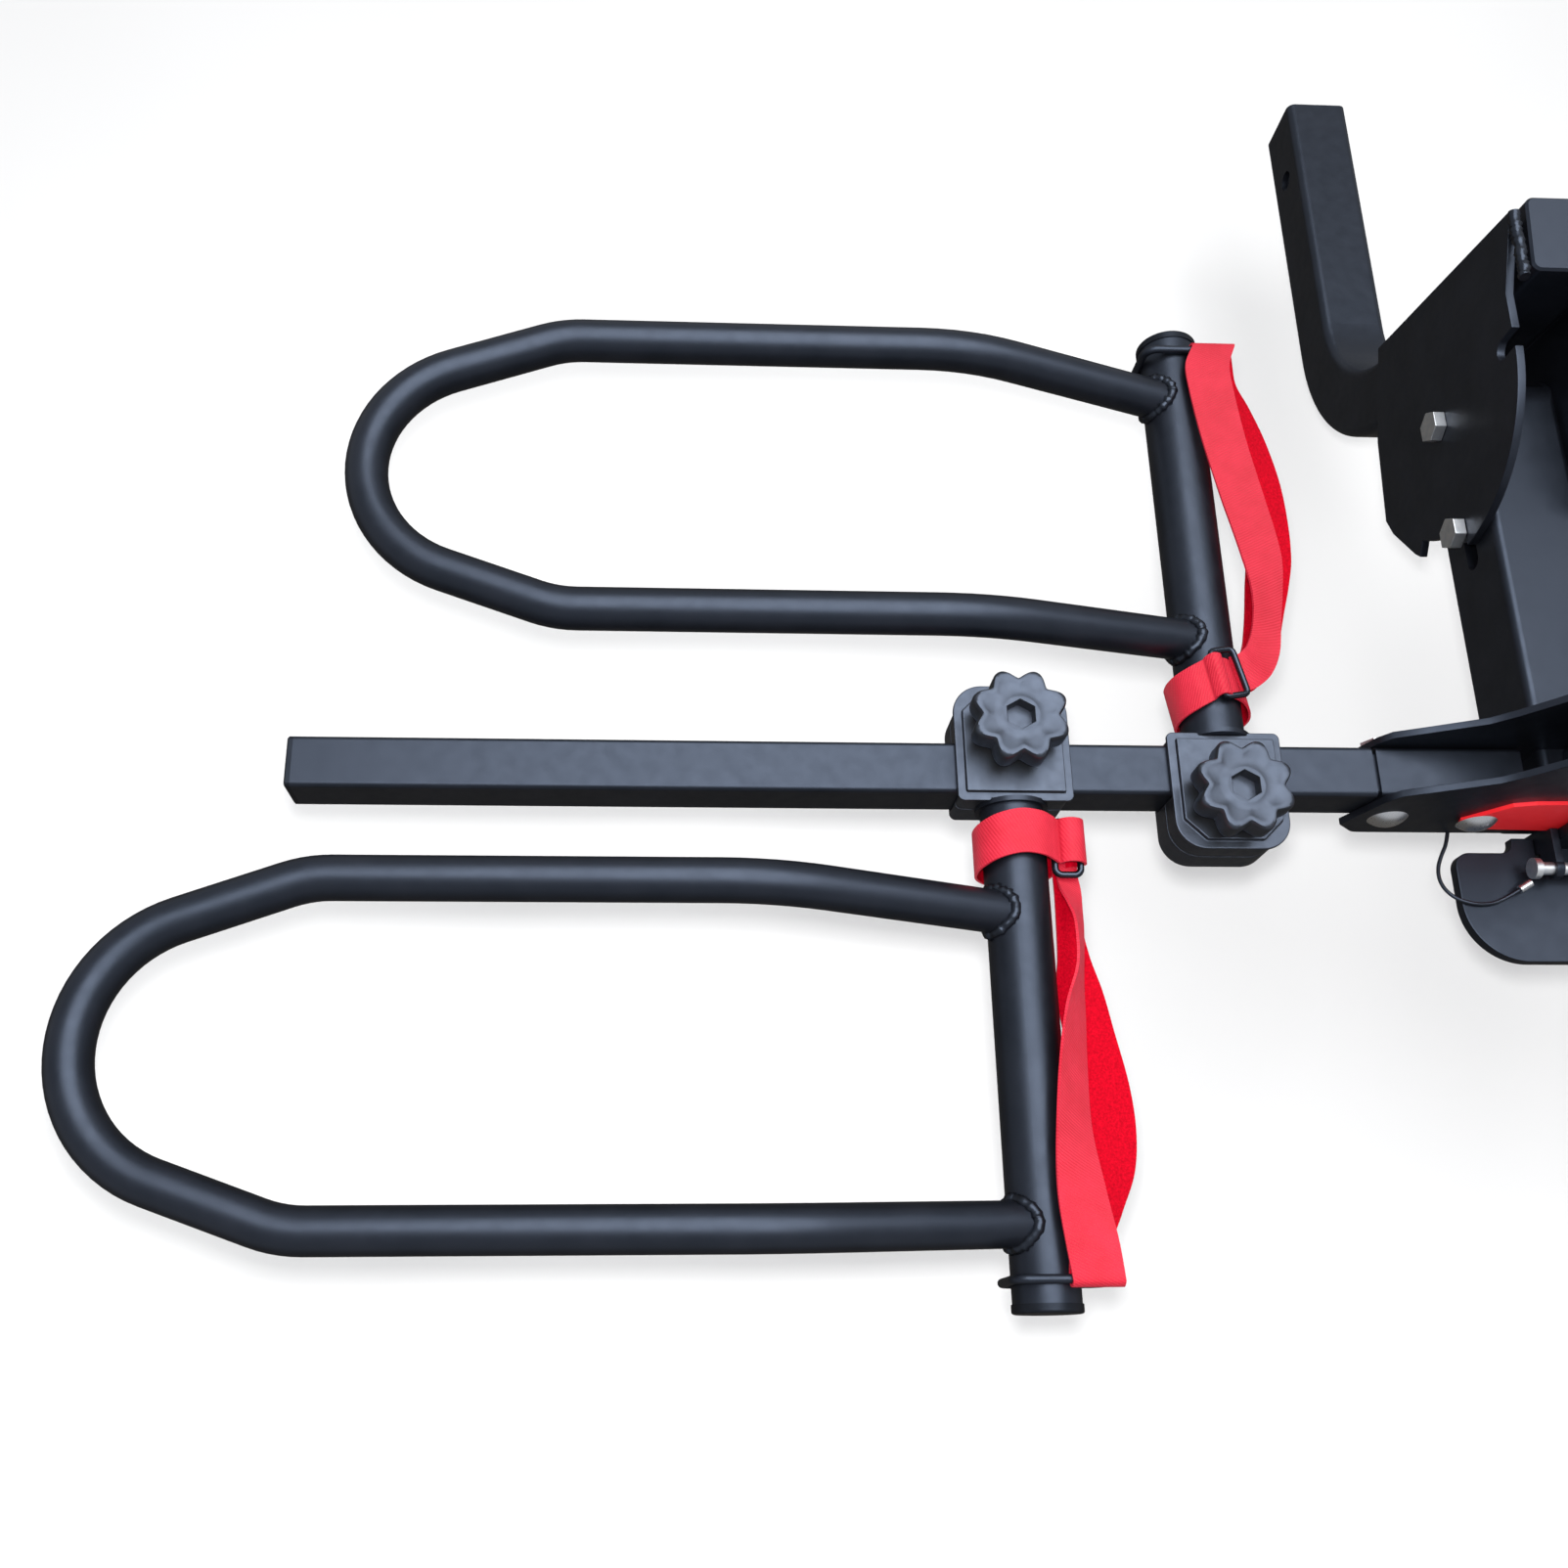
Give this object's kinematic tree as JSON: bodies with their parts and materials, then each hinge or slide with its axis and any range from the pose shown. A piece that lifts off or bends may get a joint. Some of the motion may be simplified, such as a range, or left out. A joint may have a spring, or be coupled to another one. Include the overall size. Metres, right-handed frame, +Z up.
{
  "type": "hitch bike rack",
  "caption": "Hitch-mounted platform bike rack: bent shank, tilting spine, cross beams with sliding wheel hoops, red straps, hook mast and foot pedal.",
  "frame": {"origin": "centre of the hitch pin hole, on the shank's centre line", "axes": "+X along the hitch pin and the right cross beam, +Y from the rack towards the vehicle, +Z up"},
  "size_m": [1.7648, 1.011, 1.1193],
  "materials": {
    "black_steel": "satin powder coat",
    "black_plastic": "moulded, fine grain",
    "black_wire": "gloss black wire",
    "zinc_steel": "bright zinc plate",
    "chrome_steel": "polished",
    "red_paint": "satin powder coat",
    "red_webbing": "woven",
    "rubber": "matt",
    "cable_black": "vinyl cover"
  },
  "bodies": {
    "hitch": {"hitch_shank": "black_steel", "tilt_plate_left": "black_steel", "tilt_plate_right": "black_steel", "riser_cap": "black_plastic", "tilt_pivot_bolt": "zinc_steel"},
    "platform": {"spine_tube": "black_steel", "bracket_plate_front": "black_steel", "bracket_plate_back": "black_steel", "beam_sleeves": "black_steel", "beam_tongues": "black_steel", "left_beam": "black_steel", "right_beam": "black_steel", "mast_tube": "black_steel", "pedal_ears": "black_steel", "tube_plugs": "black_plastic", "carriage_bolts": "chrome_steel", "front_band": "red_paint", "pedal_pin": "zinc_steel"},
    "lock": {"lock_bolt": "zinc_steel", "release_rod": "zinc_steel"},
    "pedal": {"foot_pedal": "black_steel"},
    "safety_pin": {"safety_pin": "zinc_steel", "lanyard_cable": "cable_black", "lanyard_ferrule": "chrome_steel"},
    "left_front_carrier": {"left_front_clamp_block": "black_plastic", "left_front_clamp_lid": "black_plastic", "left_front_wheel_hoop": "black_steel", "left_front_post_cap": "black_plastic", "left_front_wheel_strap": "red_webbing", "left_front_strap_buckle": "black_wire"},
    "left_front_knob": {"left_front_star_knob": "black_plastic"},
    "left_rear_carrier": {"left_rear_clamp_block": "black_plastic", "left_rear_clamp_lid": "black_plastic", "left_rear_wheel_hoop": "black_steel", "left_rear_post_cap": "black_plastic", "left_rear_wheel_strap": "red_webbing", "left_rear_strap_buckle": "black_wire"},
    "left_rear_knob": {"left_rear_star_knob": "black_plastic"},
    "right_front_carrier": {"right_front_clamp_block": "black_plastic", "right_front_clamp_lid": "black_plastic", "right_front_wheel_hoop": "black_steel", "right_front_post_cap": "black_plastic", "right_front_wheel_strap": "red_webbing", "right_front_strap_buckle": "black_wire"},
    "right_front_knob": {"right_front_star_knob": "black_plastic"},
    "right_rear_carrier": {"right_rear_clamp_block": "black_plastic", "right_rear_clamp_lid": "black_plastic", "right_rear_wheel_hoop": "black_steel", "right_rear_post_cap": "black_plastic", "right_rear_wheel_strap": "red_webbing", "right_rear_strap_buckle": "black_wire"},
    "right_rear_knob": {"right_rear_star_knob": "black_plastic"},
    "upper_hook": {"upper_hook_arm": "black_steel", "upper_hook_pad": "rubber"},
    "upper_hook_knob_body": {"upper_hook_knob": "black_plastic"},
    "lower_hook": {"lower_hook_arm": "black_steel", "lower_hook_pad": "rubber"},
    "lower_hook_knob_body": {"lower_hook_knob": "black_plastic"}
  },
  "joints": [
    {"name": "rack_tilt", "type": "hinge", "parent": "hitch", "child": "platform", "pos_m": [0, -0.372, 0.1734], "axis": [1, 0, 0], "range_deg": [0, 30]},
    {"name": "pedal_press", "type": "hinge", "parent": "platform", "child": "pedal", "pos_m": [0, -0.668, 0.1404], "axis": [1, 0, 0], "range_deg": [0, 22], "stiffness_Nm_per_rad": 12, "springref_deg": -14.32},
    {"name": "lock_slide", "type": "slide", "parent": "platform", "child": "lock", "axis": [0, -1, 0], "range_m": [0, 0.02]},
    {"name": "pin_pull", "type": "slide", "parent": "platform", "child": "safety_pin", "axis": [-1, 0, 0], "range_m": [0, 0.035]},
    {"name": "left_front_carrier_slide", "type": "slide", "parent": "platform", "child": "left_front_carrier", "axis": [1, 0, 0], "range_m": [-0.38, 0.026]},
    {"name": "left_front_knob_turn", "type": "hinge", "parent": "left_front_carrier", "child": "left_front_knob", "pos_m": [-0.356, -0.6185, 0.2204], "axis": [0, 0, 1], "continuous": true},
    {"name": "left_rear_carrier_slide", "type": "slide", "parent": "platform", "child": "left_rear_carrier", "axis": [1, 0, 0], "range_m": [-0.026, 0.045]},
    {"name": "left_rear_knob_turn", "type": "hinge", "parent": "left_rear_carrier", "child": "left_rear_knob", "pos_m": [-0.228, -0.6615, 0.2204], "axis": [0, 0, 1], "continuous": true},
    {"name": "right_front_carrier_slide", "type": "slide", "parent": "platform", "child": "right_front_carrier", "axis": [-1, 0, 0], "range_m": [-0.38, 0.026]},
    {"name": "right_front_knob_turn", "type": "hinge", "parent": "right_front_carrier", "child": "right_front_knob", "pos_m": [0.356, -0.6185, 0.2204], "axis": [0, 0, 1], "continuous": true},
    {"name": "right_rear_carrier_slide", "type": "slide", "parent": "platform", "child": "right_rear_carrier", "axis": [-1, 0, 0], "range_m": [-0.026, 0.045]},
    {"name": "right_rear_knob_turn", "type": "hinge", "parent": "right_rear_carrier", "child": "right_rear_knob", "pos_m": [0.228, -0.6615, 0.2204], "axis": [0, 0, 1], "continuous": true},
    {"name": "upper_hook_slide", "type": "slide", "parent": "platform", "child": "upper_hook", "axis": [0, 0, 1], "range_m": [-0.08, 0.08]},
    {"name": "upper_hook_knob_turn", "type": "hinge", "parent": "upper_hook", "child": "upper_hook_knob_body", "pos_m": [0.026, -0.64, 0.9504], "axis": [1, 0, 0], "continuous": true},
    {"name": "lower_hook_slide", "type": "slide", "parent": "platform", "child": "lower_hook", "axis": [0, 0, 1], "range_m": [-0.3, 0.05]},
    {"name": "lower_hook_knob_turn", "type": "hinge", "parent": "lower_hook", "child": "lower_hook_knob_body", "pos_m": [0.026, -0.64, 0.7504], "axis": [1, 0, 0], "continuous": true}
  ],
  "couplings": [
    {"joint": "lock_slide", "follows": "pedal_press", "m_per_rad": 0.052}
  ]
}
